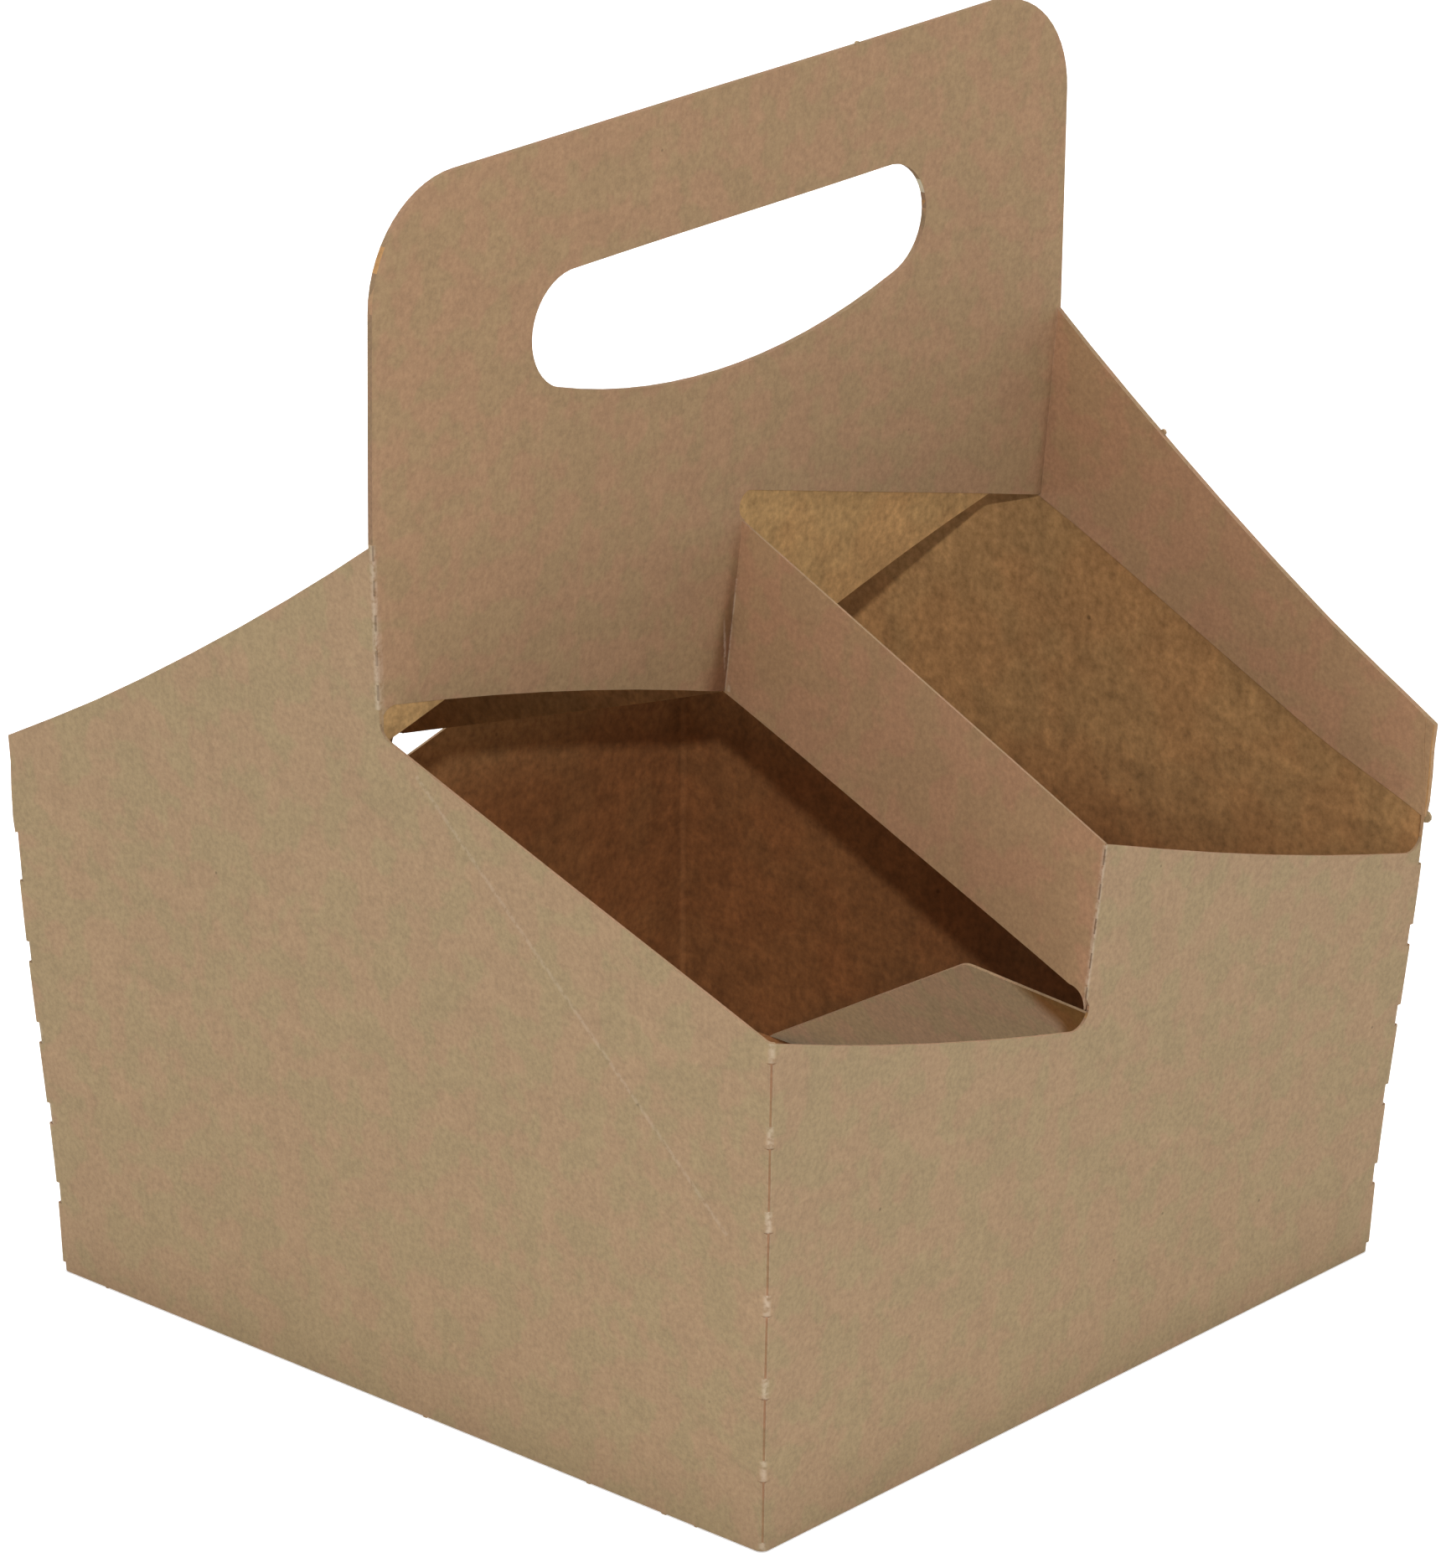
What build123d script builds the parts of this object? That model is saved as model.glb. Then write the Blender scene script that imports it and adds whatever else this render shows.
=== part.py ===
from build123d import *

import os
from math import atan2, cos, radians, sin, tan

os.makedirs("parts", exist_ok=True)

# Cup carrier: one die-cut sheet of kraft board, folded and glued into a flared square sleeve. A web of two
# layers stands across the middle and ends in a handle, and straps cut from the same sheet divide the cells.
# The sheet is the same after half a turn about the vertical axis. All lengths are in millimetres.
board = 0.6
base_width = 195.0
flare = 2.35
fold_radius = 1.8

# Perforated corner folds: slits that the fold presses shut inside, with short bridges of board between them
slit_length = 13.5
slit_width = 0.45
slit_skin = 0.12
bridge_length = 4.7
lowest_slit = 2.0
top_bridge = 2.0
lip_reach = 6.0

# Heights of the cut edges where they cross the folds
shoulder = 187.0
corner_high = 119.5
corner_low = 110.4
low_at_hinge = 147.4
low_at_strap = 84.0
high_at_strap = 122.6
high_at_corner = 90.8
high_bow = -2.7
wall_bow = -1.2
corner_spread = 2.5

# Round ends of the slots, and the play beside the folded corner
wall_slot_end = 4.2
hinge_slot_end = 4.0
corner_slot_end = 3.6
slot_past_fold = 1.6
slot_play = 0.2

# Handle web
handle_height = 258.0
handle_corner = 24.0
web_at_hinge = 152.6
web_at_strap = 128.0
web_slot = 6.0
web_at_end = 144.5
web_bow = 1.6

# Hand hole: straight above, rounded at the ends, bulged below
grip = 28.0
hole_length = 120.0
hole_straight = 94.0
hole_end_depth = 24.0
hole_end_step = 4.0
hole_bulge = 8.0

# Dividing straps lean and run a little askew, and end straps lie along the inside of the side walls
strap_foot = 0.3
strap_lean = 5.87
strap_skew = 1.24
strap_top_web = 164.5
strap_low_wall = 90.4
end_strap_tip = 98.8

# Bottom: a flap from the front and the back wall, and a flap that leans in from the foot of each side wall
floor_overlap = 18.0
floor_rise = 30.0
floor_gap = 0.8
flap_lean = 26.0
flap_length = 50.8
flap_length_front = 46.0
flap_rear = 71.0
flap_top_rear = 4.0
flap_front = 86.0
flap_top_front = 60.0
flap_corner = 6.0

# How far the sleeve and the cutting profiles reach past the finished edges
trim = 20.0

tilt = radians(flare)
half_base = base_width / 2
slit_pitch = slit_length + bridge_length
sleeve_top = shoulder + trim
over = sleeve_top + trim
seat = board / 3
round_step = 1 - cos(radians(45))


def face_at(height):
    # Distance from the vertical axis to the outer face of a wall
    return half_base + height * tan(tilt)


def slot_at(height):
    # How far the long slots reach into a corner, clear of the doubled side wall
    return face_at(height) - 2 * board - slot_play


def slit_heights(corner_top):
    # Lower ends of the slits that fit under the top of a corner
    room = corner_top - top_bridge - lowest_slit - slit_length
    return [lowest_slit + slit_pitch * step for step in range(int(room / slit_pitch) + 1)]


def strap_x(height, depth):
    # Middle of the front strap, at a height and a distance in front of the web
    rise = (height - web_at_strap) * tan(radians(strap_lean))
    return strap_foot + rise - depth * tan(radians(strap_skew))


# Each side as it is seen from outside, with its origin on the vertical axis
front = Plane(origin=(0, 0, 0), x_dir=(1, 0, 0), z_dir=(0, -1, 0))
back = Plane(origin=(0, 0, 0), x_dir=(-1, 0, 0), z_dir=(0, 1, 0))
left = Plane(origin=(0, 0, 0), x_dir=(0, -1, 0), z_dir=(-1, 0, 0))
right = Plane(origin=(0, 0, 0), x_dir=(0, 1, 0), z_dir=(1, 0, 0))

# The bottoms of the slits in the corner folds, facing outwards, with the top of the perforation in each
perforated_folds = []
for x_side, y_side in ((-1, -1), (1, 1), (1, -1), (-1, 1)):
    foot = half_base - board + slit_skin
    fold_plane = Plane(
        origin=(x_side * foot, y_side * foot, 0),
        x_dir=(-y_side, x_side, 0),
        z_dir=(x_side, y_side, -2 * tan(tilt)),
    )
    perforated_folds.append((fold_plane, corner_low if x_side == y_side else high_at_corner))

# The inner faces of the two side walls, seen from inside the carrier
inner_base = half_base - board / cos(tilt)
right_inner = Plane(origin=(inner_base, 0, 0), x_dir=(0, -1, 0), z_dir=(-cos(tilt), 0, sin(tilt)))
left_inner = Plane(origin=(-inner_base, 0, 0), x_dir=(0, 1, 0), z_dir=(cos(tilt), 0, sin(tilt)))

# The middle planes of the dividing straps, with their origins at the foot of the web
strap_normal = Vector(-1, tan(radians(strap_skew)), tan(radians(strap_lean)))
strap_run = Vector(-tan(radians(strap_skew)), -1, 0)
front_strap = Plane(origin=(strap_foot, 0, web_at_strap), x_dir=strap_run, z_dir=strap_normal)
back_strap = Plane(
    origin=(-strap_foot, 0, web_at_strap),
    x_dir=(-strap_run.X, -strap_run.Y, 0),
    z_dir=(-strap_normal.X, -strap_normal.Y, strap_normal.Z),
)

# The middle planes of the leaning flaps, with their origins at the feet of the side walls
flap_foot = half_base - board / 2
flap_across = cos(radians(flap_lean))
flap_down = -sin(radians(flap_lean))
right_flap = Plane(origin=(flap_foot, 0, board / 2), x_dir=(0, -1, 0), z_dir=(-flap_across, 0, flap_down))
left_flap = Plane(origin=(-flap_foot, 0, board / 2), x_dir=(0, 1, 0), z_dir=(flap_across, 0, flap_down))


def on_strap(depth, height):
    # A place on the front strap, in the strap's own plane
    return front_strap.to_local_coords(Vector(strap_x(height, depth), -depth, height))


# Sharp-cornered block with the flare of the sleeve
with BuildPart() as block:
    for side, mode in ((front, Mode.ADD), (right, Mode.INTERSECT)):
        with BuildSketch(side):
            with BuildLine():
                Polyline(
                    (-half_base, 0),
                    (half_base, 0),
                    (face_at(sleeve_top), sleeve_top),
                    (-face_at(sleeve_top), sleeve_top),
                    close=True,
                )
            make_face()
        extrude(amount=base_width, both=True, mode=mode)

# Lips: beside each slit the board stays flat up to the corner, while the bridges bend round it
with BuildPart() as lips:
    add(block.part)
    offset(amount=-board, openings=lips.faces().filter_by(Axis.Z))
    with BuildSketch(Plane.XY):
        with GridLocations(base_width, base_width, 2, 2):
            Rectangle(2 * lip_reach, 2 * lip_reach)
    extrude(amount=corner_low, mode=Mode.INTERSECT)
    for fold_plane, corner_top in perforated_folds:
        slits = slit_heights(corner_top)
        with BuildSketch(fold_plane):
            with Locations(*[(0, slit - bridge_length) for slit in slits]):
                Rectangle(4 * lip_reach, bridge_length, align=(Align.CENTER, Align.MIN))
            with Locations((0, slits[-1] + slit_length)):
                Rectangle(4 * lip_reach, corner_low, align=(Align.CENTER, Align.MIN))
        extrude(amount=4 * lip_reach, both=True, mode=Mode.SUBTRACT)

# Ears: the free corners of the side walls, doubled by the end straps, which fold back and spread there
with BuildPart() as ears:
    with BuildSketch(right_inner.offset(-board), left_inner.offset(-board)):
        root = slot_at(high_at_corner) - lip_reach
        tip = face_at(end_strap_tip)
        root_low = web_at_end - (web_at_end - end_strap_tip) * (root + board) / tip
        ear_top = corner_high + trim
        spread = (face_at(corner_high) + corner_spread - tip) / (corner_high - end_strap_tip)
        with BuildLine():
            Polyline(
                (root, root_low),
                (tip, end_strap_tip),
                (tip + spread * (ear_top - end_strap_tip), ear_top),
                (root, ear_top),
                close=True,
            )
        make_face()
    extrude(amount=2 * board)
    for end in (0, -1):
        fold = ears.faces().sort_by(Axis.Y)[end]
        fillet(fold.edges().sort_by(SortBy.LENGTH)[-2:], board - seat / 2)

with BuildPart() as carrier:
    # Flared sleeve of four walls, rounded at the corner folds
    add(block.part)
    fillet(carrier.edges().group_by(Axis.Z)[1], fold_radius)
    offset(amount=-board, openings=carrier.faces().filter_by(Axis.Z))
    add(lips.part)

    # Slits of the perforated folds: open outside, with their inner edges pressed together by the fold
    for fold_plane, corner_top in perforated_folds:
        with BuildSketch(fold_plane):
            with Locations(*[(0, slit) for slit in slit_heights(corner_top)]):
                Rectangle(slit_width, slit_length, align=(Align.CENTER, Align.MIN))
        extrude(amount=lip_reach, mode=Mode.SUBTRACT)

    # End straps: folded back at the corner and glued to the inside of the side walls
    with BuildSketch(right_inner.offset(-seat), left_inner.offset(-seat)):
        with BuildLine():
            Polyline(
                (-board, web_at_end),
                (face_at(end_strap_tip) - board, end_strap_tip),
                (face_at(over) - board, over),
                (-board, over),
                close=True,
            )
        make_face()
    extrude(amount=board + seat)
    add(ears.part)

    # Top edge of the side walls: high behind the web, low in front of it
    with BuildSketch(left.offset(face_at(0)), right.offset(face_at(0))) as side_air:
        rear = -face_at(corner_high) - corner_spread
        fore = face_at(corner_low)
        with BuildLine():
            Polyline(
                (rear, corner_high),
                (rear - trim, corner_high),
                (rear - trim, over),
                (fore + trim, over),
                (fore + trim, corner_low),
                (fore, corner_low),
                (board, low_at_hinge),
                (board, shoulder),
            )
            ThreePointArc(
                (board, shoulder),
                ((rear + board) / 2, (shoulder + corner_high) / 2 + high_bow),
                (rear, corner_high),
            )
        make_face()
        fillet(side_air.vertices().sort_by_distance((board, low_at_hinge))[0], hinge_slot_end)
    extrude(amount=trim, mode=Mode.SUBTRACT)

    # Top edge of the front and back walls: low on the left of the strap, high on its right
    with BuildSketch(front.offset(face_at(0)), back.offset(face_at(0))) as front_air:
        slot_tip = strap_x(low_at_strap, face_at(low_at_strap)) + slot_past_fold
        slot_top = (strap_x(strap_low_wall, face_at(strap_low_wall)) - board / 2, strap_low_wall)
        slot_high = (strap_x(high_at_strap, face_at(high_at_strap)) - board / 2, high_at_strap)
        slot_left = (-slot_at(corner_low), corner_low)
        slot_right = (slot_at(high_at_corner), high_at_corner)
        slope = atan2(corner_low - low_at_strap, slot_tip - slot_left[0])
        slot_low = (
            slot_tip - wall_slot_end * (1 + sin(slope)),
            low_at_strap + wall_slot_end * (1 - cos(slope)),
        )
        slot_round = (slot_tip - wall_slot_end * round_step, low_at_strap + wall_slot_end * round_step)
        with BuildLine():
            Polyline(slot_right, (slot_at(over), over), (-slot_at(over), over), slot_left)
            ThreePointArc(
                slot_left,
                ((slot_left[0] + slot_low[0]) / 2, (slot_left[1] + slot_low[1]) / 2 + wall_bow),
                slot_low,
            )
            ThreePointArc(slot_low, slot_round, (slot_tip, low_at_strap + wall_slot_end))
            Polyline((slot_tip, low_at_strap + wall_slot_end), slot_top, slot_high)
            ThreePointArc(
                slot_high,
                ((slot_high[0] + slot_right[0]) / 2, (slot_high[1] + slot_right[1]) / 2 + wall_bow),
                slot_right,
            )
        make_face()
        fillet(front_air.vertices().sort_by_distance(slot_right)[0], corner_slot_end)
    extrude(amount=trim, mode=Mode.SUBTRACT)

    # Handle web: the front layer and, half a turn round, the back layer glued to it
    with BuildSketch(front, back) as web:
        edge = board / 2
        hinge = (edge - face_at(web_at_hinge), web_at_hinge - hinge_slot_end)
        hinge_round = (hinge[0] + hinge_slot_end * round_step, web_at_hinge - hinge_slot_end * round_step)
        slot_start = (hinge[0] + hinge_slot_end, web_at_hinge)
        strap_low = (strap_x(web_at_strap, 0) + edge, web_at_strap)
        strap_top = (strap_x(strap_top_web, 0) + edge, strap_top_web)
        slot_end = (strap_x(strap_top_web + web_slot / 2, 0) - slot_past_fold, strap_top_web + web_slot / 2)
        over_slot = (slot_end[0] + web_slot / 2, strap_top_web + web_slot)
        web_end = (face_at(web_at_end) - edge, web_at_end)
        with BuildLine():
            ThreePointArc(hinge, hinge_round, slot_start)
            ThreePointArc(
                slot_start,
                ((slot_start[0] + strap_low[0]) / 2, (web_at_hinge + web_at_strap) / 2 + web_bow),
                strap_low,
            )
            Line(strap_low, strap_top)
            ThreePointArc(strap_top, slot_end, over_slot)
            Polyline(
                over_slot,
                web_end,
                (face_at(shoulder), shoulder),
                (face_at(shoulder), handle_height),
                (-face_at(shoulder), handle_height),
                (-face_at(shoulder), shoulder),
                hinge,
            )
        make_face()
        fillet(web.vertices().group_by(Axis.Y)[-1], handle_corner)
    extrude(amount=board)

    # Hand hole through both layers
    with BuildSketch(front):
        hole_top = handle_height - grip
        straight = hole_straight / 2
        low = (straight + hole_end_step, hole_top - hole_end_depth)
        with BuildLine():
            Line((-straight, hole_top), (straight, hole_top))
            ThreePointArc((straight, hole_top), (hole_length / 2, hole_top - hole_end_depth / 2), low)
            ThreePointArc(low, (0, low[1] - hole_bulge), (-low[0], low[1]))
            ThreePointArc(
                (-low[0], low[1]),
                (-hole_length / 2, hole_top - hole_end_depth / 2),
                (-straight, hole_top),
            )
        make_face()
    extrude(amount=4 * board, both=True, mode=Mode.SUBTRACT)

    # Dividing straps from the middle of the web to the front and back walls, rounded where their slots end
    with BuildSketch(front_strap, back_strap):
        depth = face_at(strap_low_wall) - board / 2
        tail = strap_low_wall + wall_slot_end * (web_at_strap - strap_low_wall) / depth
        turned = wall_slot_end * round_step
        with BuildLine():
            Line(on_strap(0, web_at_strap), on_strap(depth - wall_slot_end, tail))
            ThreePointArc(
                on_strap(depth - wall_slot_end, tail),
                on_strap(depth - turned, tail - turned),
                on_strap(depth, tail - wall_slot_end),
            )
            Polyline(
                on_strap(depth, tail - wall_slot_end),
                on_strap(face_at(high_at_strap) - board / 2, high_at_strap),
                on_strap(0, strap_top_web),
                on_strap(0, web_at_strap),
            )
        make_face()
    extrude(amount=board / 2, both=True)

    # Bottom flaps of the side walls, leaning in over the floor
    with BuildSketch(right_flap, left_flap) as flaps:
        with BuildLine():
            Polyline(
                (-flap_rear, 0),
                (flap_front, 0),
                (flap_top_front, flap_length_front),
                (flap_top_rear, flap_length),
                close=True,
            )
        make_face()
        fillet(flaps.vertices().sort_by(Axis.Y)[-2:], flap_corner)
    extrude(amount=board / 2, both=True)

    # Floor of two flaps that overlap in the middle, the back one lying on the front one
    with BuildSketch(right):
        with BuildLine():
            Polyline(
                (board / 2 - half_base, 0),
                (floor_overlap, 0),
                (floor_overlap, board),
                (board / 2 - half_base, board),
                close=True,
            )
        make_face()
        with BuildLine():
            Polyline(
                (-floor_overlap, board),
                (floor_rise, board),
                (floor_rise + floor_overlap, 0),
                (half_base - board / 2, 0),
                (half_base - board / 2, board),
                (floor_rise + floor_overlap, board),
                (floor_rise, 2 * board),
                (-floor_overlap, 2 * board),
                close=True,
            )
        make_face()
    extrude(amount=half_base - 2 * board - floor_gap, both=True)

carrier.part.label = "carrier"
export_step(carrier.part, "parts/carrier.step")
print("solids", len(carrier.part.solids()), "volume", carrier.part.volume, "valid", carrier.part.is_valid)
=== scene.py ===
import math

import bmesh
import bpy
from mathutils import Matrix, Vector, noise


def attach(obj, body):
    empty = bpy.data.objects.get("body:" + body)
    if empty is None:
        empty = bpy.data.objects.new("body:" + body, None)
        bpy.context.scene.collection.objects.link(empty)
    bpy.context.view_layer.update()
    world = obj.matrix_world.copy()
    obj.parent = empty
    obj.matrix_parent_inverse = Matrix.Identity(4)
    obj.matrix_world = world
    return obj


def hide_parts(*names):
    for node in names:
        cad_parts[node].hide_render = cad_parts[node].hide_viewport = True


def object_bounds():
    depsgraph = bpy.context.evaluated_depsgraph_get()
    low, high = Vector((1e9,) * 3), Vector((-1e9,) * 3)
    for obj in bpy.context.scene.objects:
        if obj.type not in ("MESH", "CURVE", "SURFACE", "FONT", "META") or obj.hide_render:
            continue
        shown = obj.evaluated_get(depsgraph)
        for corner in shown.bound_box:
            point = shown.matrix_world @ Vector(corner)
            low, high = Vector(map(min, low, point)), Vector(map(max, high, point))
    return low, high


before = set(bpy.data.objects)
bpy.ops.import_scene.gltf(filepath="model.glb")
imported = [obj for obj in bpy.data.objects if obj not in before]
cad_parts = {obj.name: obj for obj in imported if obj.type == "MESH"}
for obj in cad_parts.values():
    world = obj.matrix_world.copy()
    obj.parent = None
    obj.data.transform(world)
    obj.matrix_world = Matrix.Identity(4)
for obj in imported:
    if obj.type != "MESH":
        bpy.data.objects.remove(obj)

scene = bpy.context.scene
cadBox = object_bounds()
print("frame loaded, carrier box", [tuple(round(v, 4) for v in corner) for corner in cadBox])


# kraft board sheet and how its faces are told apart and cut up: lengths in metres, angles in degrees
boardSheet = {
    "thickness": 0.0006,
    "halfBase": 0.0975,
    "flare": 2.35,
    "flapLean": 26.0,
    "strapLean": 5.87,
    "strapSkew": 1.24,
    "strapFoot": 0.0003,
    "webFoot": 0.128,
    "webHalf": 0.0009,
    "floorTop": 0.0016,
    "floorEdge": 0.0955,
    "floorReach": 0.0968,
    "cornerSquare": 0.003,
    "uprightBelow": 0.3,
    "levelAbove": 0.95,
    "inwardBelow": -0.5,
    "sameWay": 0.996,
    "sameDepth": 0.00008,
    "mergeDistance": 0.000002,
    "cutSnap": 0.0000001,
    "gridStep": 0.006,
    "flatAngle": 0.05,
    "sharpAngle": 28.0,
}

# slits of the perforated corner folds
cornerSlits = {
    "lowest": 0.002,
    "length": 0.0135,
    "pitch": 0.0182,
}

# painted shade: the board is painted darker and redder deep in the carrier and on the floor near the side
# walls, and the sheltered web, straps and slits are painted redder than the walls, for the shade that
# falls there
paintedShadeTone = {
    "byHeight": -1.0,          # stands for a tone that follows the height
    "deepBelow": 0.062,
    "litAbove": 0.098,
    "wallInside": 0.37,
    "floor": 0.6,
    "floorLitWithin": 0.082,
    "floorDeep": 0.091,
    "web": 0.55,
    "strap": 1.0,
    "plain": 0.0,
    "same": 0.001,
}

# soft bends of the web beside its folds: ends of the fold, how far it is pushed back, reach of the bend
webBends = {
    "middle": {
        "low": 0.128,
        "high": 0.1645,
        "push": 0.0012,
        "left": 0.0085,
        "right": 0.016,
        "depth": 0.035,
    },
    "end": {
        "low": 0.1445,
        "high": 0.187,
        "push": 0.0022,
        "left": 0.007,
        "right": 0.004,
        "depth": 0.02,
    },
    "lowestShare": 1.3,
    "narrowTop": 0.15,
    "columns": 9,
    "columnDepth": 0.002,
    "columnReach": 0.014,
    "columnMargin": 0.004,
    "shadeRise": 1.8,
    "shadeFull": 1.7,
    "shadeWidth": 0.0105,
}

# the two free corners stand further out than the walls do, most just under their tips
cornerSpread = {
    "out": 0.0018,
    "along": 0.03,
    "startHeight": 0.01,
    "fullHeight": 0.1,
    "tipHeight": 0.12,
    "tipShare": 0.25,
}

# slight waves of the standing board
boardWaves = {
    "seed": 5,
    "height": 0.00028,
    "scale": 14.0,
    "stillBelow": 0.002,
    "fullAbove": 0.03,
}

# nubs left where the sheet was nicked in its die: place on the cut edge, way through the board, size
nickNubs = {
    "segments": 10,
    "thickShare": 0.96,
    "places": [
        ((0.0373, -0.0003, 0.258), (0, 1, 0), 0.0007),
        ((0.1035, -0.0003, 0.2147), (0, 1, 0), 0.0008),
        ((-0.1031, 0.0575, 0.1458), (1, 0, 0), 0.0008),
        ((0.1041, -0.0301, 0.1653), (1, 0, 0), 0.0007),
        ((-0.0972, 0.0843, 0.0003), (1, 0, 0), 0.0006),
        ((-0.0972, -0.0069, 0.0003), (1, 0, 0), 0.0007),
        ((-0.0972, -0.0515, 0.0003), (1, 0, 0), 0.0007),
        ((-0.0972, -0.0716, 0.0003), (1, 0, 0), 0.0008),
        ((-0.0972, -0.0800, 0.0003), (1, 0, 0), 0.0006),
        ((0.1012, -0.1013, 0.0985), (1, 0, 0), 0.0013),
    ],
}


def unit(x, y, z):
    return Vector((x, y, z)).normalized()


def smoothStep(low, high, value):
    share = min(max((value - low) / (high - low), 0.0), 1.0)
    return share * share * (3 - 2 * share)


flareTilt = math.radians(boardSheet["flare"])
flapTilt = math.radians(boardSheet["flapLean"])
strapRise = math.tan(math.radians(boardSheet["strapLean"]))
strapTurn = math.tan(math.radians(boardSheet["strapSkew"]))
wallWays = [
    unit(0, -math.cos(flareTilt), -math.sin(flareTilt)),
    unit(0, math.cos(flareTilt), -math.sin(flareTilt)),
    unit(-math.cos(flareTilt), 0, -math.sin(flareTilt)),
    unit(math.cos(flareTilt), 0, -math.sin(flareTilt)),
]
outside, inside, cutEdge, flapSide = range(4)    # material slots of the sheet


def wallFace(height):
    return boardSheet["halfBase"] + height * math.tan(flareTilt)      # outer face, from the middle


def strapX(height, depth):
    rise = (height - boardSheet["webFoot"]) * strapRise
    return boardSheet["strapFoot"] + rise - depth * strapTurn         # middle of the front strap


def wallDepth(point, way):
    return boardSheet["halfBase"] * math.cos(flareTilt) - way.dot(point)   # 0 on the outer face


def cornerInset(point):
    # how far a point lies inside the two walls of its own corner
    xWay = wallWays[3] if point.x > 0 else wallWays[2]
    yWay = wallWays[1] if point.y > 0 else wallWays[0]
    return wallDepth(point, xWay), wallDepth(point, yWay)


def sideOf(face):
    # which side of the sheet a face belongs to, and how much painted shade its shelter gives it
    way = face.normal
    spot = face.calc_center_median()
    thick = boardSheet["thickness"]
    byHeight, plain = paintedShadeTone["byHeight"], paintedShadeTone["plain"]
    sameWay, sameDepth = boardSheet["sameWay"], boardSheet["sameDepth"]
    for wallWay in wallWays:
        depth = wallDepth(spot, wallWay)
        along = way.dot(wallWay)
        if along > sameWay and abs(depth) < sameDepth:
            return outside, plain
        if along < -sameWay and abs(depth - thick) < sameDepth:
            return inside, byHeight
        if along < -sameWay and abs(depth - 2 * thick) < sameDepth:
            return outside, paintedShadeTone["strap"]              # end strap, folded back with its outer side in
    turn = -1.0 if spot.x > 0 else 1.0
    flapWay = unit(turn * math.cos(flapTilt), 0, -math.sin(flapTilt))
    if abs(way.dot(flapWay)) > sameWay:
        return (flapSide, plain) if way.dot(flapWay) > 0 else (inside, byHeight)
    turn = 1.0 if spot.y > 0 else -1.0
    strapWay = unit(turn, -turn * strapTurn, strapRise)
    if abs(way.dot(strapWay)) > sameWay:
        return (outside, paintedShadeTone["strap"]) if way.dot(strapWay) > 0 else (inside, byHeight)
    if abs(way.y) > sameWay and abs(spot.y) < boardSheet["webHalf"]:
        return (outside, paintedShadeTone["web"]) if abs(spot.y) > thick / 2 else (inside, plain)
    if max(cornerInset(spot)) < boardSheet["cornerSquare"] and abs(way.z) < boardSheet["uprightBelow"]:
        outward = way.x * math.copysign(1, spot.x) + way.y * math.copysign(1, spot.y)
        if outward < boardSheet["inwardBelow"]:
            return inside, byHeight
        # the slits get the painted shade of the straps, for the shade inside the cuts
        inSlit = (spot.z - cornerSlits["lowest"]) % cornerSlits["pitch"] < cornerSlits["length"]
        return outside, paintedShadeTone["strap"] if inSlit else plain
    if abs(way.z) > boardSheet["levelAbove"] and spot.z < boardSheet["floorTop"]:
        return (inside, paintedShadeTone["floor"]) if way.z > 0 else (outside, plain)
    return cutEdge, plain


def cutAcross(bm, geometry, place, way):
    # new edges where a plane crosses this part of the sheet
    bmesh.ops.bisect_plane(bm, geom=geometry, dist=boardSheet["cutSnap"], plane_co=place, plane_no=way)


def cutGrid(bm):
    low, high = cadBox
    for axis in range(3):
        way = Vector([1.0 if i == axis else 0.0 for i in range(3)])
        steps = int((high[axis] - low[axis]) / boardSheet["gridStep"])
        for step in range(1, steps):
            place = way * (low[axis] + step * boardSheet["gridStep"])
            cutAcross(bm, bm.verts[:] + bm.edges[:] + bm.faces[:], place, way)


def bendFold(bend, height):
    # where across the web the fold of a bend lies
    if bend is webBends["middle"]:
        return strapX(height, 0)
    return wallFace(height) - boardSheet["thickness"] / 2


def bendShare(bend, height):
    # 0 at the upper end of the fold, 1 at its foot
    return (bend["high"] - height) / (bend["high"] - bend["low"])


def bendTaper(share):
    # a bend narrows towards the upper end of its fold
    return webBends["narrowTop"] + (1 - webBends["narrowTop"]) * share


def webAround(bm, bend, fold):
    # the part of the web around one of its bends
    lowest = bend["low"] - webBends["columnMargin"]
    highest = bend["high"] + webBends["columnMargin"]
    faces = []
    for face in bm.faces:
        spot = face.calc_center_median()
        beside = abs(spot.y) < webBends["columnDepth"] and abs(spot.x - fold) < webBends["columnReach"]
        if beside and lowest < spot.z < highest:
            faces.append(face)
    edges = dict.fromkeys(edge for face in faces for edge in face.edges)
    verts = dict.fromkeys(vert for face in faces for vert in face.verts)
    return list(verts) + list(edges) + faces


def cutBendColumns(bm):
    # close upright edges in the web, where it bends softly beside its folds
    for bend in (webBends["middle"], webBends["end"]):
        fold = bendFold(bend, (bend["low"] + bend["high"]) / 2)
        for column in range(1, webBends["columns"]):
            place = Vector((fold - bend["left"] * column / webBends["columns"], 0, 0))
            cutAcross(bm, webAround(bm, bend, fold), place, Vector((1, 0, 0)))


def bendAt(point):
    # how far the web and the panels beside it are pushed back at a point
    push = 0.0
    for bend in (webBends["middle"], webBends["end"]):
        share = bendShare(bend, point.z)
        if share <= 0 or share > webBends["lowestShare"]:
            continue
        across = point.x - bendFold(bend, point.z)
        width = bend["left"] * bendTaper(share) if across < 0 else bend["right"]
        side = max(1 - abs(across) / width, 0.0)
        fade = max(1 - abs(point.y) / bend["depth"], 0.0)
        push += bend["push"] * min(share, 1.0) * side * side * fade * fade
    return push


def shadeAt(point):
    # how dark the web is beside its strap, where it turns away into the fold
    spot = point if point.y < 0 else Vector((-point.x, -point.y, point.z))
    bend = webBends["middle"]
    share = bendShare(bend, spot.z)
    across = bendFold(bend, spot.z) - spot.x
    if share <= 0 or across < 0:
        return 0.0
    width = webBends["shadeWidth"] * bendTaper(share)
    beside = smoothStep(0.0, 1.0, webBends["shadeFull"] * (1 - across / width))
    return min(webBends["shadeRise"] * share, 1.0) * beside


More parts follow.
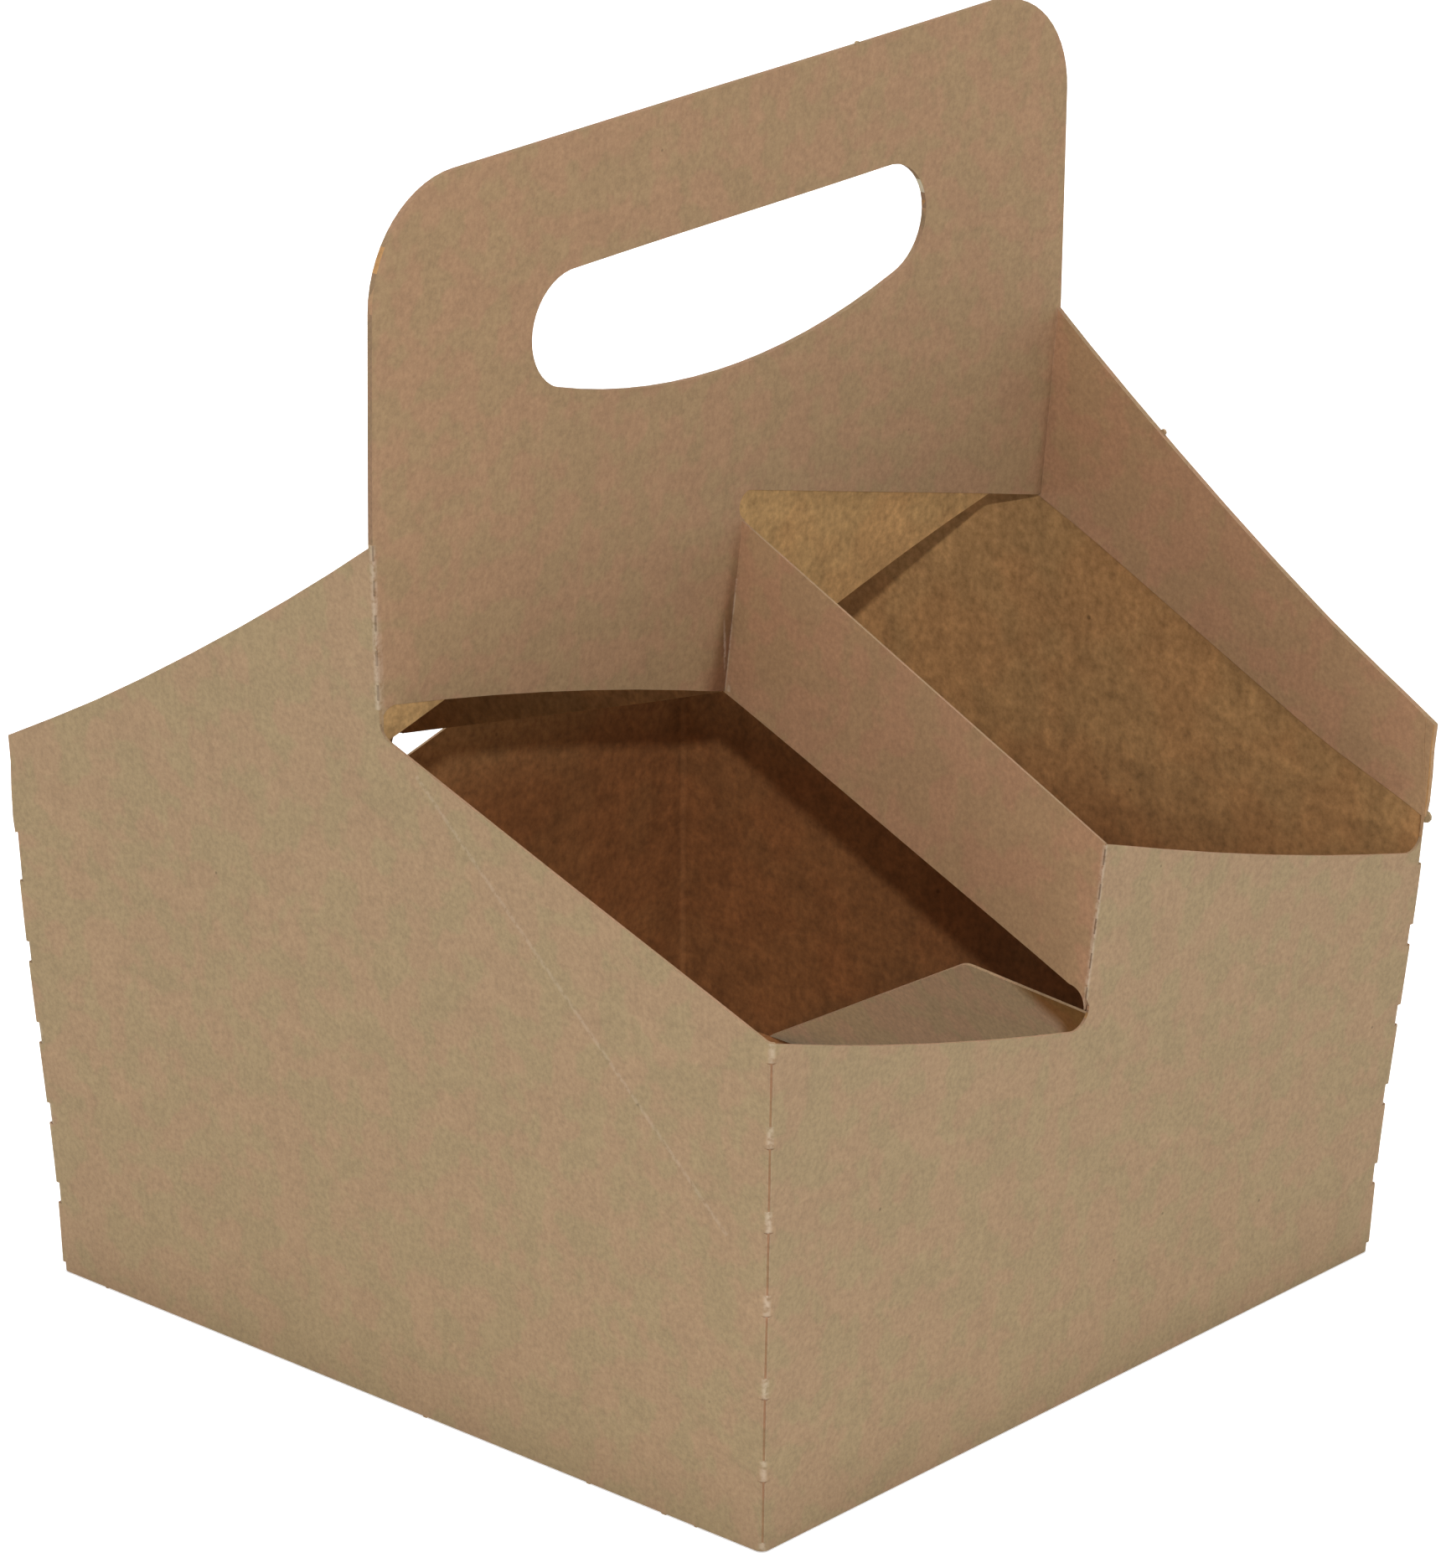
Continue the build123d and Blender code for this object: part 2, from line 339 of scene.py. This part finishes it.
def paintedShadeAt(point, shelter):
    # how far the colour goes from plain to painted shade at a point of a face: painted darker low on the
    # inside walls and on the floor near the side walls
    if shelter == paintedShadeTone["byHeight"]:
        litShare = smoothStep(paintedShadeTone["deepBelow"], paintedShadeTone["litAbove"], point.z)
        return 1 - (1 - paintedShadeTone["wallInside"]) * litShare
    if abs(shelter - paintedShadeTone["floor"]) < paintedShadeTone["same"]:
        deep = smoothStep(paintedShadeTone["floorLitWithin"], paintedShadeTone["floorDeep"], abs(point.x))
        return paintedShadeTone["floor"] + (1 - paintedShadeTone["floor"]) * deep
    return shelter


def spreadAt(point):
    # how far a point near a free corner stands out
    if point.x * point.y >= 0:
        return Vector((0, 0, 0))
    reach = wallFace(point.z) - min(abs(point.x), abs(point.y))
    near = 1 - smoothStep(0.0, cornerSpread["along"], reach)
    rise = smoothStep(cornerSpread["startHeight"], cornerSpread["fullHeight"], point.z)
    fall = smoothStep(cornerSpread["fullHeight"], cornerSpread["tipHeight"], point.z)
    out = cornerSpread["out"] * near * rise * (1 - (1 - cornerSpread["tipShare"]) * fall)
    return Vector((math.copysign(out, point.x), math.copysign(out, point.y), 0))


def waveAt(point):
    still = smoothStep(boardWaves["stillBelow"], boardWaves["fullAbove"], point.z)
    return noise.noise_vector(point * boardWaves["scale"]) * boardWaves["height"] * still


def markSides(bm):
    shelter = bm.faces.layers.float.new("shelter")
    for face in bm.faces:
        face.material_index, face[shelter] = sideOf(face)
    return shelter


def paintShadeTones(bm, shelter):
    # painted shade at every corner of every face, for the finishes to read: tone for the painted shade of
    # the sheltered and deep parts, shade for the painted shade beside the strap fold
    tone = bm.loops.layers.float.new("tone")
    shade = bm.loops.layers.float.new("shade")
    for face in bm.faces:
        face.smooth = True
        onWeb = abs(face[shelter] - paintedShadeTone["web"]) < paintedShadeTone["same"]
        for loop in face.loops:
            loop[tone] = paintedShadeAt(loop.vert.co, face[shelter])
            loop[shade] = shadeAt(loop.vert.co) if onWeb else 0.0


def closeFloor(bm):
    # the floor meets the foot of the side walls, so that no light comes up beside it
    for vert in bm.verts:
        onEdge = abs(abs(vert.co.x) - boardSheet["floorEdge"]) < boardSheet["sameDepth"]
        if onEdge and vert.co.z < boardSheet["floorTop"]:
            vert.co.x = math.copysign(boardSheet["floorReach"], vert.co.x)


def addNub(bm, place, way, size):
    turn = Vector(way).to_track_quat("Z", "Y").to_matrix().to_4x4()
    made = bmesh.ops.create_cone(
        bm,
        cap_ends=True,
        segments=nickNubs["segments"],
        radius1=size,
        radius2=size,
        depth=boardSheet["thickness"] * nickNubs["thickShare"],
        matrix=Matrix.Translation(place) @ turn,
    )
    for face in {face for vert in made["verts"] for face in vert.link_faces}:
        face.material_index = outside


def makeBoard():
    bm = bmesh.new()
    bm.from_mesh(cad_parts["carrier"].data)
    bmesh.ops.remove_doubles(bm, verts=bm.verts, dist=boardSheet["mergeDistance"])
    shelter = markSides(bm)
    bmesh.ops.dissolve_limit(
        bm,
        angle_limit=math.radians(boardSheet["flatAngle"]),
        verts=bm.verts,
        edges=bm.edges,
        delimit={"MATERIAL"},
    )
    cutGrid(bm)
    cutBendColumns(bm)
    paintShadeTones(bm, shelter)
    closeFloor(bm)
    for place, way, size in nickNubs["places"]:
        addNub(bm, place, way, size)
    noise.seed_set(boardWaves["seed"])
    for vert in bm.verts:
        vert.co += waveAt(vert.co) + spreadAt(vert.co) + Vector((0, bendAt(vert.co), 0))
    mesh = bpy.data.meshes.new("carrierBoard")
    bm.to_mesh(mesh)
    bm.free()
    mesh.attributes.remove(mesh.attributes["custom_normal"])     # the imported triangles' own normals
    mesh.set_sharp_from_angle(angle=math.radians(boardSheet["sharpAngle"]))
    board = bpy.data.objects.new("carrierBoard", mesh)
    scene.collection.objects.link(board)
    for material in (kraftOutside(), kraftInside(), kraftCutEdge(), kraftFlapPaintedLight()):
        mesh.materials.append(material)
    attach(board, "root")
    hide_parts("carrier")
    print("board made,", len(mesh.polygons), "faces")


# node helpers for the kraft finishes
def newMaterial(name):
    material = bpy.data.materials.new(name)
    material.use_nodes = True
    tree = material.node_tree
    return material, tree, tree.nodes["Principled BSDF"]


def setOrLink(tree, socket, value):
    if isinstance(value, bpy.types.NodeSocket):
        tree.links.new(value, socket)
    else:
        socket.default_value = value


def attributeOf(tree, name):
    node = tree.nodes.new("ShaderNodeAttribute")
    node.attribute_name = name
    return node.outputs["Fac"]


def noiseAt(tree, place, scale, character, stretch=(1, 1, 1), turn=(0, 0, 0)):
    mapping = tree.nodes.new("ShaderNodeMapping")
    mapping.inputs["Scale"].default_value = stretch
    mapping.inputs["Rotation"].default_value = turn
    tree.links.new(place, mapping.inputs["Vector"])
    texture = tree.nodes.new("ShaderNodeTexNoise")
    texture.inputs["Scale"].default_value = scale
    texture.inputs["Detail"].default_value = character["detail"]
    texture.inputs["Roughness"].default_value = character["roughness"]
    tree.links.new(mapping.outputs["Vector"], texture.inputs["Vector"])
    return texture.outputs["Fac"]


def mixOf(tree, blend, amount, first, second):
    mix = tree.nodes.new("ShaderNodeMix")
    mix.data_type = "RGBA"
    mix.blend_type = blend
    for socket, value in ((mix.inputs[0], amount), (mix.inputs[6], first), (mix.inputs[7], second)):
        setOrLink(tree, socket, value)
    return mix.outputs[2]


def mathOf(tree, operation, first, second=0.0):
    node = tree.nodes.new("ShaderNodeMath")
    node.operation = operation
    setOrLink(tree, node.inputs[0], first)
    setOrLink(tree, node.inputs[1], second)
    return node.outputs[0]


def vectorOf(tree, operation, first, second, result="Vector"):
    node = tree.nodes.new("ShaderNodeVectorMath")
    node.operation = operation
    setOrLink(tree, node.inputs[0], first)
    setOrLink(tree, node.inputs[1], second)
    return node.outputs[result]


def fadeOf(tree, value, low, high):
    # 0 at low, 1 at high, smooth between; low may be the greater one
    node = tree.nodes.new("ShaderNodeMapRange")
    node.interpolation_type = "SMOOTHSTEP"
    node.inputs["From Min"].default_value = low
    node.inputs["From Max"].default_value = high
    tree.links.new(value, node.inputs["Value"])
    return node.outputs["Result"]


def grey(level):
    return (level, level, level, 1.0)


# what the finishes of the board have in common
kraftPulp = {
    "grain": {"detail": 4.0, "roughness": 0.65},
    "cloud": {"detail": 3.0, "roughness": 0.55},
    "fibre": {"detail": 2.0, "roughness": 0.5},
    "blush": {"detail": 2.0, "roughness": 0.5},
    "fibreWays": [((1, 1, 0.2), (0.5, 0.4, 0)), ((0.2, 0.2, 1), (0.2, -0.5, 0.3))],      # stretch, turn
    "noiseLow": 0.3,
    "noiseHigh": 0.7,
    "blushLow": 0.44,
    "blushHigh": 0.56,
    "speckCore": 0.3,
    "speckColour": grey(0.12),
    "bumpDistance": 0.0001,
}

# outside face: shadedColour is the painted shade of the web and straps, shade is the painted shade beside
# the strap fold
outsideFinish = {
    "colour": (0.313, 0.2255, 0.122, 1.0),
    "shadedColour": (0.352, 0.215, 0.112, 1.0),
    "blush": (1.07, 0.98, 1.03, 1.0),
    "shade": (0.55, 0.44, 0.38, 1.0),
    "blushScale": 120.0,
    "grainScale": 900.0,
    "cloudScale": 110.0,
    "fibreScale": 320.0,
    "grainLow": 0.85,
    "grainHigh": 1.15,
    "cloudLow": 0.975,
    "cloudHigh": 1.025,
    "fibreLow": 0.975,
    "fibreHigh": 1.025,
    "speckScale": 75.0,
    "speckSize": 0.036,
    "speckDark": 0.45,
    "roughness": 0.78,
    "specular": 0.25,
    "bump": 0.15,
}

# inside face: colour is the board high in the carrier, shadedColour the painted shade deep inside
insideFinish = {
    "colour": (0.46, 0.28, 0.117, 1.0),
    "shadedColour": (0.19, 0.082, 0.029, 1.0),
    "blush": (1.04, 0.985, 0.97, 1.0),
    "shade": grey(1.0),
    "blushScale": 45.0,
    "grainScale": 560.0,
    "cloudScale": 150.0,
    "fibreScale": 240.0,
    "grainLow": 0.74,
    "grainHigh": 1.26,
    "cloudLow": 0.87,
    "cloudHigh": 1.13,
    "fibreLow": 0.94,
    "fibreHigh": 1.06,
    "speckScale": 60.0,
    "speckSize": 0.045,
    "speckDark": 0.5,
    "roughness": 0.85,
    "specular": 0.15,
    "bump": 0.3,
}

cutEdgeFinish = {
    **outsideFinish,
    "colour": (0.25, 0.165, 0.094, 1.0),
    "shadedColour": (0.25, 0.165, 0.094, 1.0),
    "grainScale": 1400.0,
    "roughness": 0.9,
    "specular": 0.1,
}

# painted light: the flap's outer face is painted paler and yellower than the other outer faces, for the
# lamp light it catches
flapPaintedLightFinish = {
    **outsideFinish,
    "colour": (0.53, 0.47, 0.325, 1.0),
    "shadedColour": (0.53, 0.47, 0.325, 1.0),
}

# pale, fibrous wear along the folds and the dashes in it: reaches and lengths in metres
foldWear = {
    "paleColour": (0.60, 0.50, 0.39, 1.0),
    "dashColour": (0.10, 0.055, 0.025, 1.0),
    "ragged": {"detail": 2.0, "roughness": 0.5},
    "raggedScale": 900.0,
    "raggedLow": 0.28,
    "raggedHigh": 0.58,
    "cornerTop": 0.1105,
    "freeCornerTop": 0.0915,
    "cornerCore": 0.0003,
    "bridgeReach": 0.0014,
    "bridgePale": 0.6,
    "lipReach": 0.0007,
    "lipPale": 0.12,
    "foldCore": 0.0001,
    "dashStart": 0.002,
    "dashPitch": 0.0073,
    "dashLength": 0.0033,
    "dashHalf": 0.00022,
}


def hingeAt(height):
    return (-wallFace(height), -boardSheet["thickness"], height)


def strapOnWallAt(height):
    out = wallFace(height)
    return (strapX(height, out) - boardSheet["thickness"] / 2, -out, height)


def strapOnWebAt(height):
    thick = boardSheet["thickness"]
    middle = strapX(height, 0)
    return (middle - thick / 2, bendAt(Vector((middle, 0, height))) - thick, height)


def endStrapOnWebAt(height):
    thick = boardSheet["thickness"]
    out = wallFace(height)
    return (out - 2 * thick, bendAt(Vector((out - thick, 0, height))) - thick, height)


# straight folds of the front half: ends, reach of the wear, how pale it is, how strong its dashes are
wornFolds = [
    {
        "ends": [hingeAt(0.1526), hingeAt(0.187)],
        "reach": 0.0013,
        "pale": 0.4,
        "dash": 0.5,
    },
    {
        "ends": [strapOnWallAt(0.0875), strapOnWallAt(0.1226)],
        "reach": 0.0011,
        "pale": 0.4,
        "dash": 0.65,
    },
    {
        "ends": [strapOnWebAt(0.128), strapOnWebAt(0.152)],
        "reach": 0.0007,
        "pale": 0.35,
        "dash": 0.0,
    },
    {
        "ends": [endStrapOnWebAt(0.1445), endStrapOnWebAt(0.186)],
        "reach": 0.0008,
        "pale": 0.15,
        "dash": 0.0,
    },
    {   # slack crease over the left wall
        "ends": [(-0.1033, -0.0103, 0.1412), (-0.1002, -0.0897, 0.0666)],
        "reach": 0.0008,
        "pale": 0.15,
        "dash": 0.0,
    },
]


def lineAt(tree, place, start, end):
    # how far the shaded point lies from a straight line, how far along it, and if it is beside it
    start, end = Vector(start), Vector(end)
    way = (end - start).normalized()
    half = (end - start).length / 2
    offset = vectorOf(tree, "SUBTRACT", place, start)
    along = vectorOf(tree, "DOT_PRODUCT", offset, way, "Value")
    onLine = tree.nodes.new("ShaderNodeVectorMath")
    onLine.operation = "SCALE"
    onLine.inputs[0].default_value = way
    tree.links.new(along, onLine.inputs["Scale"])
    away = vectorOf(tree, "DISTANCE", offset, onLine.outputs["Vector"], "Value")
    fromMiddle = mathOf(tree, "ABSOLUTE", mathOf(tree, "SUBTRACT", along, half))
    within = mathOf(tree, "LESS_THAN", fromMiddle, half)
    return away, along, within


def everyStep(tree, along, start, length, pitch):
    # 1 on the marks of a row: the first begins at start
    share = mathOf(tree, "FRACT", mathOf(tree, "DIVIDE", mathOf(tree, "SUBTRACT", along, start), pitch))
    return mathOf(tree, "LESS_THAN", share, length / pitch)


def strengthNear(tree, away, reach, core, strength):
    # full in the core of a mark, nothing past its reach
    return mathOf(tree, "MULTIPLY", fadeOf(tree, away, reach, core), strength)


def cornerWear(tree, place):
    # whitened bridges and lips of the four perforated corner folds
    wear = 0.0
    core = foldWear["cornerCore"]
    for xSide, ySide in ((-1, -1), (-1, 1), (1, -1), (1, 1)):
        top = foldWear["cornerTop"] if xSide == ySide else foldWear["freeCornerTop"]
        ends = [(xSide * wallFace(height), ySide * wallFace(height), height) for height in (0.0, top)]
        away, along, within = lineAt(tree, place, *ends)
        slit = everyStep(tree, along, cornerSlits["lowest"], cornerSlits["length"], cornerSlits["pitch"])
        bridge = mathOf(tree, "SUBTRACT", 1.0, slit)
        paleBridge = strengthNear(tree, away, foldWear["bridgeReach"], core, foldWear["bridgePale"])
        paleLip = strengthNear(tree, away, foldWear["lipReach"], core, foldWear["lipPale"])
        bridges = mathOf(tree, "MULTIPLY", paleBridge, bridge)
        lips = mathOf(tree, "MULTIPLY", paleLip, slit)
        both = mathOf(tree, "ADD", bridges, lips)
        wear = mathOf(tree, "MAXIMUM", wear, mathOf(tree, "MULTIPLY", both, within))
    return wear


def foldMarks(tree, place):
    # how pale the wear is, and how dark the dashes in it are, at the shaded point
    wear, dark = cornerWear(tree, place), 0.0
    half = foldWear["dashHalf"]
    for fold in wornFolds:
        for turn in (1, -1):                                # the same again on the back half
            ends = [(turn * x, turn * y, z) for x, y, z in fold["ends"]]
            away, along, within = lineAt(tree, place, *ends)
            pale = strengthNear(tree, away, fold["reach"], foldWear["foldCore"], fold["pale"])
            wear = mathOf(tree, "MAXIMUM", wear, mathOf(tree, "MULTIPLY", pale, within))
            if fold["dash"]:
                mark = everyStep(
                    tree, along, foldWear["dashStart"], foldWear["dashLength"], foldWear["dashPitch"]
                )
                thin = strengthNear(tree, away, 2 * half, half, fold["dash"])
                line = mathOf(tree, "MULTIPLY", mark, thin)
                dark = mathOf(tree, "MAXIMUM", dark, mathOf(tree, "MULTIPLY", line, within))
    ragged = noiseAt(tree, place, foldWear["raggedScale"], foldWear["ragged"])
    worn = fadeOf(tree, ragged, foldWear["raggedLow"], foldWear["raggedHigh"])
    return mathOf(tree, "MULTIPLY", wear, worn), dark


def specksOf(tree, place, finish):
    # few dark flecks of bark in the pulp
    cells = tree.nodes.new("ShaderNodeTexVoronoi")
    cells.inputs["Scale"].default_value = finish["speckScale"]
    tree.links.new(place, cells.inputs["Vector"])
    core = kraftPulp["speckCore"] * finish["speckSize"]
    return strengthNear(tree, cells.outputs["Distance"], finish["speckSize"], core, finish["speckDark"])


def toneOf(tree, value, low, high):
    # grey that goes from low to high over the middle of a noise
    ramp = tree.nodes.new("ShaderNodeValToRGB")
    stops = ramp.color_ramp.elements
    stops[0].position = kraftPulp["noiseLow"]
    stops[0].color = grey(low)
    stops[1].position = kraftPulp["noiseHigh"]
    stops[1].color = grey(high)
    tree.links.new(value, ramp.inputs["Fac"])
    return ramp.outputs["Color"]


def kraftMaterial(name, finish, marked):
    material, tree, shader = newMaterial(name)
    place = tree.nodes.new("ShaderNodeTexCoord").outputs["Object"]
    # painted shade: the colour goes towards shadedColour by the tone attribute and is darkened beside the
    # strap fold by the shade attribute
    colour = mixOf(tree, "MIX", attributeOf(tree, "tone"), finish["colour"], finish["shadedColour"])
    colour = mixOf(tree, "MULTIPLY", attributeOf(tree, "shade"), colour, finish["shade"])
    blush = noiseAt(tree, place, finish["blushScale"], kraftPulp["blush"])
    flush = fadeOf(tree, blush, kraftPulp["blushLow"], kraftPulp["blushHigh"])
    colour = mixOf(tree, "MULTIPLY", flush, colour, finish["blush"])
    grain = noiseAt(tree, place, finish["grainScale"], kraftPulp["grain"])
    cloud = noiseAt(tree, place, finish["cloudScale"], kraftPulp["cloud"])
    layers = [(grain, "grain"), (cloud, "cloud")]
    for stretch, turn in kraftPulp["fibreWays"]:
        fibre = noiseAt(tree, place, finish["fibreScale"], kraftPulp["fibre"], stretch, turn)
        layers.append((fibre, "fibre"))
    for layer, kind in layers:
        level = toneOf(tree, layer, finish[kind + "Low"], finish[kind + "High"])
        colour = mixOf(tree, "MULTIPLY", 1.0, colour, level)
    colour = mixOf(tree, "MULTIPLY", specksOf(tree, place, finish), colour, kraftPulp["speckColour"])
    if marked:
        wear, dark = foldMarks(tree, place)
        colour = mixOf(tree, "MIX", wear, colour, foldWear["paleColour"])
        colour = mixOf(tree, "MIX", dark, colour, foldWear["dashColour"])
    tree.links.new(colour, shader.inputs["Base Color"])
    bump = tree.nodes.new("ShaderNodeBump")
    bump.inputs["Strength"].default_value = finish["bump"]
    bump.inputs["Distance"].default_value = kraftPulp["bumpDistance"]
    tree.links.new(grain, bump.inputs["Height"])
    tree.links.new(bump.outputs["Normal"], shader.inputs["Normal"])
    shader.inputs["Roughness"].default_value = finish["roughness"]
    shader.inputs["Specular IOR Level"].default_value = finish["specular"]
    return material


def kraftOutside():
    return kraftMaterial("kraftOutside", outsideFinish, True)


def kraftInside():
    return kraftMaterial("kraftInside", insideFinish, False)


def kraftCutEdge():
    return kraftMaterial("kraftCutEdge", cutEdgeFinish, False)


def kraftFlapPaintedLight():
    return kraftMaterial("kraftFlapPaintedLight", flapPaintedLightFinish, False)


# studio: white floor, a soft lamp overhead, faint surroundings and one small lamp just above the camera
studio = {
    "floorHalf": 4.0,
    "floorLevel": -0.0003,
    "floorAlbedo": grey(0.9),
    "floorLift": 0.45,
    "surround": 0.12,
    "topLevel": 3.6,
    "topAngle": 30.0,
    "lampPower": 64.5,
    "lampSize": 0.07,
    "lampReach": 3.8,
    "lampRaise": 4.0,
    "lampTurn": 0.5,
    "target": (0.0, 0.0, 0.11),
}

# camera fitted to the fold lines: lengths in metres, angles in degrees, pixels of a 1720 x 1872 frame
viewpoint = {
    "place": (-1.1974, -1.0475, 0.7275),
    "yaw": 48.86,
    "pitch": 21.29,
    "roll": 0.75,
    "focalPixels": 9893.0,
    "frameWidth": 1720.0,
    "frameHeight": 1872.0,
    "middleX": 872.0,
    "sensor": 36.0,
}


def backdropRays(tree):
    # 1 for the rays that show the backdrop, 0 for those that light the carrier
    path = tree.nodes.new("ShaderNodeLightPath")
    through = mathOf(tree, "MAXIMUM", path.outputs["Is Glossy Ray"], path.outputs["Is Transmission Ray"])
    return mathOf(tree, "MAXIMUM", path.outputs["Is Camera Ray"], through)


def makeFloor():
    bm = bmesh.new()
    bmesh.ops.create_grid(bm, x_segments=1, y_segments=1, size=studio["floorHalf"])
    mesh = bpy.data.meshes.new("studioFloor")
    bm.to_mesh(mesh)
    bm.free()
    floor = bpy.data.objects.new("studioFloor", mesh)
    floor.location.z = studio["floorLevel"]
    scene.collection.objects.link(floor)
    material, tree, shader = newMaterial("studioFloorPaper")
    shader.inputs["Base Color"].default_value = studio["floorAlbedo"]
    shader.inputs["Roughness"].default_value = 1.0
    shader.inputs["Specular IOR Level"].default_value = 0.0
    shader.inputs["Emission Color"].default_value = grey(1.0)
    lift = mathOf(tree, "MULTIPLY", backdropRays(tree), studio["floorLift"])
    tree.links.new(lift, shader.inputs["Emission Strength"])
    mesh.materials.append(material)


def makeSurround():
    world = bpy.data.worlds.new("studioSurround")
    scene.world = world
    world.use_nodes = True
    tree = world.node_tree
    background = tree.nodes["Background"]
    background.inputs["Color"].default_value = grey(1.0)
    level = tree.nodes.new("ShaderNodeMapRange")
    level.inputs["To Min"].default_value = studio["surround"]
    level.inputs["To Max"].default_value = 1.0
    tree.links.new(backdropRays(tree), level.inputs["Value"])
    tree.links.new(level.outputs["Result"], background.inputs["Strength"])


def makeCamera():
    data = bpy.data.cameras.new("studioCamera")
    camera = bpy.data.objects.new("studioCamera", data)
    scene.collection.objects.link(camera)
    scene.camera = camera
    data.sensor_width = viewpoint["sensor"]
    data.lens = viewpoint["focalPixels"] * viewpoint["sensor"] / viewpoint["frameHeight"]
    data.shift_x = (viewpoint["frameWidth"] / 2 - viewpoint["middleX"]) / viewpoint["frameHeight"]
    camera.matrix_world = (
        Matrix.Translation(viewpoint["place"])
        @ Matrix.Rotation(math.radians(-viewpoint["yaw"]), 4, "Z")
        @ Matrix.Rotation(math.radians(90 - viewpoint["pitch"]), 4, "X")
        @ Matrix.Rotation(math.radians(viewpoint["roll"]), 4, "Z")
    )


def makeLamp():
    data = bpy.data.lights.new("studioLamp", "AREA")
    data.shape = "DISK"
    data.size = studio["lampSize"]
    data.energy = studio["lampPower"]
    lamp = bpy.data.objects.new("studioLamp", data)
    scene.collection.objects.link(lamp)
    target = Vector(studio["target"])
    away = Vector(viewpoint["place"]) - target
    bearing = math.atan2(away.y, away.x) + math.radians(studio["lampTurn"])
    height = math.atan2(away.z, math.hypot(away.x, away.y)) + math.radians(studio["lampRaise"])
    lamp.location = target + studio["lampReach"] * Vector(
        (math.cos(height) * math.cos(bearing), math.cos(height) * math.sin(bearing), math.sin(height))
    )
    lamp.rotation_euler = (lamp.location - target).to_track_quat("Z", "Y").to_euler()


def makeTopLamp():
    data = bpy.data.lights.new("studioTopLamp", "SUN")
    data.energy = studio["topLevel"]
    data.angle = math.radians(studio["topAngle"])
    lamp = bpy.data.objects.new("studioTopLamp", data)       # unturned, it shines straight down
    scene.collection.objects.link(lamp)


makeBoard()
makeFloor()
makeSurround()
makeCamera()
makeLamp()
makeTopLamp()
scene.view_settings.view_transform = "Standard"
print("studio set")
